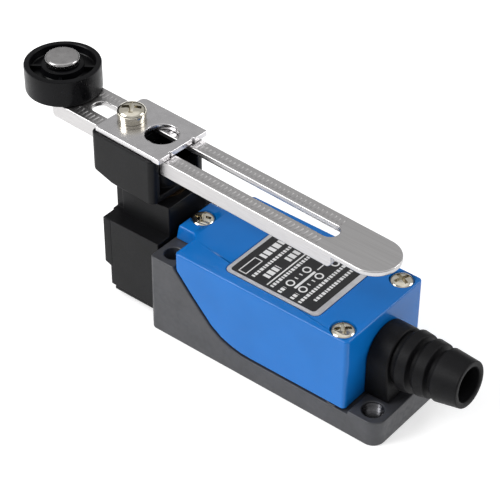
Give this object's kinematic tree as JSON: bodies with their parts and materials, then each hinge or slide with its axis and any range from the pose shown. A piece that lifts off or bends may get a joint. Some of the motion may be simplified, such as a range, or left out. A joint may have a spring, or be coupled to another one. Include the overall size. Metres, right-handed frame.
{
  "type": "limit switch",
  "caption": "Limit switch with an adjustable slotted roller lever, a rotary head, a screwed-on cover and a ringed rubber cable boot.",
  "frame": {"origin": "centre of the housing mounting face", "axes": "+X along the housing from the lever head to the cable boot, +Z out of the mounting face towards the cover and lever, +Y across the housing"},
  "size_m": [0.1257, 0.028, 0.0501],
  "materials": {
    "casting": "satin grey paint",
    "cover": "glossy blue",
    "label": "black foil with silver border",
    "black_plastic": "satin black",
    "rubber": "matt black",
    "nickel": "bright nickel plate",
    "steel": "brushed",
    "bronze": "sintered bronze",
    "brass": "bright",
    "phenolic": "moulded brown",
    "nylon": "natural"
  },
  "bodies": {
    "housing": {"base_housing": "casting", "front_cover": "cover", "cover_gasket": "rubber", "label_plate": "label", "cover_screw_1": "nickel", "cover_screw_2": "nickel", "cover_screw_3": "nickel", "cable_boot": "rubber", "boot_retainer": "steel", "head_housing": "black_plastic", "head_bottom_cap": "black_plastic", "head_gasket": "rubber", "shaft_bush": "bronze", "shaft_seal": "rubber", "return_spring": "steel", "head_screw_1": "nickel", "head_screw_2": "nickel", "head_screw_3": "nickel", "head_screw_4": "nickel", "switch_block": "phenolic", "block_screw_1": "nickel", "block_screw_2": "nickel", "terminal_1": "brass", "terminal_2": "brass", "terminal_3": "brass", "terminal_4": "brass", "terminal_screw_1": "nickel", "terminal_screw_2": "nickel", "terminal_screw_3": "nickel", "terminal_screw_4": "nickel"},
    "lever": {"lever_shaft": "steel", "crank_pin": "steel", "lever_hub": "black_plastic", "clamp_plate": "steel", "clamp_washer": "nickel", "clamp_screw": "nickel", "clamp_nut": "nickel"},
    "arm": {"slotted_arm": "steel", "roller_washer": "steel", "roller_axle": "steel"},
    "roller_wheel": {"roller": "black_plastic"},
    "plunger_slide_body": {"plunger": "nylon", "contact_carrier": "nylon", "contact_bridge": "brass", "contact_spring_1": "steel", "contact_spring_2": "steel"}
  },
  "joints": [
    {"name": "lever_turn", "type": "hinge", "parent": "housing", "child": "lever", "pos_m": [-0.03947, 0, 0.03], "axis": [0, 0, 1], "range_deg": [-75, 75], "stiffness_Nm_per_rad": 0.02},
    {"name": "plunger_slide", "type": "slide", "parent": "housing", "child": "plunger_slide_body", "axis": [1, 0, 0], "range_m": [-0.002, 0.002]},
    {"name": "arm_slide", "type": "slide", "parent": "lever", "child": "arm", "axis": [0.9988, -0.049, 0], "range_m": [-0.045, 0.008]},
    {"name": "roller_spin", "type": "hinge", "parent": "arm", "child": "roller_wheel", "pos_m": [-0.07103, 0.00155, 0.0451], "axis": [0, 0, 1], "continuous": true}
  ],
  "couplings": [
    {"joint": "plunger_slide", "follows": "lever_turn", "m_per_rad": -0.00152}
  ]
}
